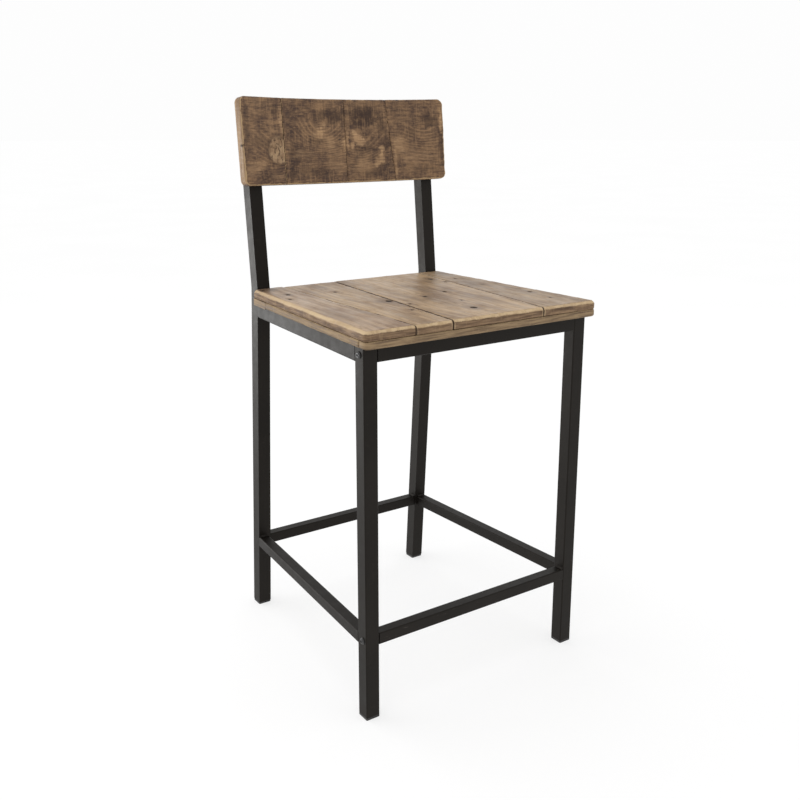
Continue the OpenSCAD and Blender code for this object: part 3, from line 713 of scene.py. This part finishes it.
# back joints: x at the lower edge, x at the top edge, how much painted shade lies in the gap and how rubbed
# each one is
SEAM_1 = (*between("back_board_1", "back_board_2", BACK_GAP), 0.95, 0.75)
SEAM_2 = (*between("back_board_2", "back_board_3", BACK_GAP), 0.15, 0.0)
SEAM_3 = (*between("back_board_3", "back_board_4", BACK_GAP), 0.55, 0.35)
EDGE = (None, None, 0, 0)
# Every place is a share of the board: across from its left edge, up from its foot.
# rings: across, up, half width, half height, strength; patches and stains end with a depth;
# knots with their half sizes; marks with size and depth
BOARDS = [
    ("back_board_1", 1, (EDGE, SEAM_1), 0.97, 0.95,
     [(0.8, 0.4, 0.050, 0.058, 34.0)],
     [(0.2, 0.2, 0.016, 0.012, 0.30), (0.95, 0.75, 0.0050, 0.028, 0.60), (0.45, 0.25, 0.014, 0.010, 0.35),
      (0.8, 0.1, 0.018, 0.007, 0.30)],
     [(0.8, 0.85, 0.010, 0.012, 0.45), (0.1, 0.6, 0.008, 0.060, 0.45), (0.65, 0.1, 0.030, 0.009, 0.35),
      (0.45, 0.5, 0.020, 0.010, 0.35)],
     [(0.85, 0.4, 0.0220, 0.0250)], [(0.0, 0.45, 0.0032, 0.003)]),
    ("back_board_2", 2, (SEAM_1, SEAM_2), 0.94, 0.0,
     [(0.6, 0.6, 0.062, 0.052, 46.0)],
     [(0.6, 0.6, 0.012, 0.011, 0.75), (0.65, 0.7, 0.008, 0.006, 0.5), (0.75, 0.5, 0.012, 0.014, 0.35),
      (0.3, 0.35, 0.024, 0.010, 0.25), (1.0, 0.45, 0.007, 0.020, 0.70), (0.85, 0.2, 0.030, 0.010, 0.30)],
     [(0.15, 0.35, 0.018, 0.024, 0.40), (0.55, 0.5, 0.022, 0.006, 0.50), (0.1, 0.1, 0.014, 0.020, 0.45),
      (0.8, 0.8, 0.046, 0.016, 0.65), (0.45, 0.15, 0.040, 0.010, 0.35)],
     [], []),
    ("back_board_3", 3, (SEAM_2, SEAM_3), 0.90, 0.0,
     [(0.35, 0.45, 0.050, 0.045, 30.0)],
     [(0.25, 0.55, 0.013, 0.012, 0.85), (0.35, 0.5, 0.010, 0.010, 0.65), (0.15, 0.45, 0.004, 0.012, 0.6),
      (0.05, 0.5, 0.004, 0.018, 0.70), (0.75, 0.3, 0.008, 0.014, 0.70), (0.8, 0.4, 0.006, 0.008, 0.6),
      (0.7, 0.25, 0.005, 0.010, 0.5), (0.65, 0.25, 0.006, 0.012, 0.55), (0.35, 0.2, 0.026, 0.012, 0.30)],
     [(0.45, 0.8, 0.044, 0.022, 0.85), (0.9, 0.45, 0.009, 0.016, 0.60), (0.45, 0.4, 0.022, 0.007, 0.50),
      (0.85, 0.7, 0.012, 0.022, 0.50), (0.55, 0.1, 0.030, 0.010, 0.45)],
     [], []),
    ("back_board_4", 4, (SEAM_3, EDGE), 0.92, 0.0,
     [(0.6, 0.55, 0.050, 0.036, 16.0)],
     [(0.95, 0.75, 0.0045, 0.026, 0.75), (0.15, 0.45, 0.014, 0.016, 0.40), (0.45, 0.3, 0.030, 0.018, 0.30),
      (0.05, 0.25, 0.004, 0.034, 0.45)],
     [(0.75, 0.75, 0.020, 0.014, 0.60), (0.95, 0.45, 0.007, 0.050, 0.60), (0.4, 0.6, 0.016, 0.012, 0.35),
      (0.65, 0.15, 0.030, 0.010, 0.30)],
     [], []),
]
BACK_RIMS = ((-BACK_HALF, -BACK_HALF), (BACK_HALF, BACK_HALF))
for node, seed, sides, tone, pale, rings, patches, stains, knots, marks in BOARDS:
    ends = [rim if seam is EDGE else seam[:2] for seam, rim in zip(sides, BACK_RIMS)]
    ends = [(low + BACK_HALF, top + BACK_HALF) for low, top in ends]
    rings, patches, stains, knots, marks = (
        placed(rows, ends, BACK_H) for rows in (rings, patches, stains, knots, marks))
    piece = worn_back_board(node, "worn_" + node, seed, sides, marks)
    mat = back_wood(node + "_stain", seed, rings, patches, stains, knots, pale, tone)
    join_piece(piece, node, mat)


# ---------------------------------------------------------------- steel nodes keep their CAD shape
def dress(node, mat, width=0.0, segments=2):
    o = NODES[node]
    if not o.material_slots:
        o.data.materials.append(mat)
    for slot in o.material_slots:
        slot.link = "OBJECT"
        slot.material = mat
    if width:
        b = o.modifiers.new("soft_edge", "BEVEL")
        b.width = width
        b.segments = segments
        b.limit_method = "ANGLE"
        b.angle_limit = math.radians(40)
        b.harden_normals = False
        o.modifiers.new("keep_flats", "WEIGHTED_NORMAL")


# Bevel modifiers soften the edges; the CAD vertices themselves stay as packed.
FRAME_STEEL = ["front_leg_left", "front_leg_right", "apron_front", "apron_rear", "apron_left", "apron_right",
               "stretcher_rear", "stretcher_left", "stretcher_right"]
for node in FRAME_STEEL:
    dress(node, steel, 0.0003, 1)
for node in ("rear_leg_left", "rear_leg_right"):
    dress(node, steel, 0.0016, 3)
dress("footrest", tread, 0.0003, 1)
# its rear edge rests on the rear apron by a hair, so it keeps its square CAD edge
dress("seat_batten_rear", batten_wood("seat_batten_rear_pine", 9), 0.0004)
dress("seat_tabs", steel, 0.0004)
dress("weld_beads", weld, 0.0006)
dress("frame_bolts", oxide, 0.0005)
dress("back_screws", oxide, 0.0004)
dress("insert_nuts", zinc, 0.0003)
dress("seat_screws", zinc, 0.0003)
for node in ("foot_plug_front_left", "foot_plug_front_right", "foot_plug_rear_left", "foot_plug_rear_right",
             "post_caps"):
    dress(node, plug, 0.0007)


# ---------------------------------------------------------------- floor, light, camera
def floor_material():
    m = Mat("pale_floor")
    soft = m.noise(m.coord, 1.3, 2.0, 0.5)
    col = m.mix(m.step(soft, 0.3, 0.7), (0.32, 0.32, 0.32), (0.33, 0.33, 0.33))
    m.bsdf.inputs["Emission Color"].default_value = (1.0, 1.0, 1.0, 1.0)
    m.bsdf.inputs["Emission Strength"].default_value = 0.675
    return m.finish(col, m.step(soft, 0.3, 0.7, 0.90, 0.96), m.bump(soft, 0.0002, 0.05), specular=0.0)


bpy.ops.mesh.primitive_circle_add(vertices=96, radius=60.0, fill_type="NGON", location=(0, 0, 0))
floor = bpy.context.object
floor.name = "floor"
floor.data.materials.append(floor_material())

world = bpy.data.worlds.new("studio")
bpy.context.scene.world = world
world.use_nodes = True
world.node_tree.nodes["Background"].inputs[0].default_value = (1.0, 1.0, 1.0, 1.0)
world.node_tree.nodes["Background"].inputs[1].default_value = 0.985


def toward(az, el):
    """Unit vector from the stool to a viewer at this azimuth and elevation, in degrees."""
    a, e = math.radians(az), math.radians(el)
    return Vector((math.sin(a) * math.cos(e), -math.cos(a) * math.cos(e), math.sin(e)))


def softbox(name, az, el, dist, size, power, aim):
    data = bpy.data.lights.new(name, "AREA")
    data.shape = "RECTANGLE"
    data.size, data.size_y = size
    data.energy = power
    o = bpy.data.objects.new(name, data)
    bpy.context.collection.objects.link(o)
    o.location = Vector(aim) + toward(az, el) * dist
    o.rotation_euler = (Vector(aim) - o.location).to_track_quat("-Z", "Y").to_euler()


MIDDLE = (0.0, 0.0, 0.6)
softbox("key_left", -142, 3, 2.6, (2.2, 0.9), 32, (0.0, 0.0, 0.20))
softbox("top_back", -150, 62, 2.8, (2.4, 2.0), 14, MIDDLE)

cam_data = bpy.data.cameras.new("camera")
cam_data.lens = VIEW_LENS
cam_data.sensor_width = 36.0
cam_data.shift_y = VIEW_SHIFT
cam = bpy.data.objects.new("camera", cam_data)
bpy.context.collection.objects.link(cam)
aim = Vector((0.0, 0.01, 0.53 * CAD_BOX[1][2]))
away = toward(VIEW_AZ, VIEW_EL)
cam.location = aim + away * VIEW_DIST
cam.rotation_euler = (-away).to_track_quat("-Z", "Y").to_euler()
bpy.context.scene.camera = cam
bpy.context.scene.view_settings.view_transform = "Standard"
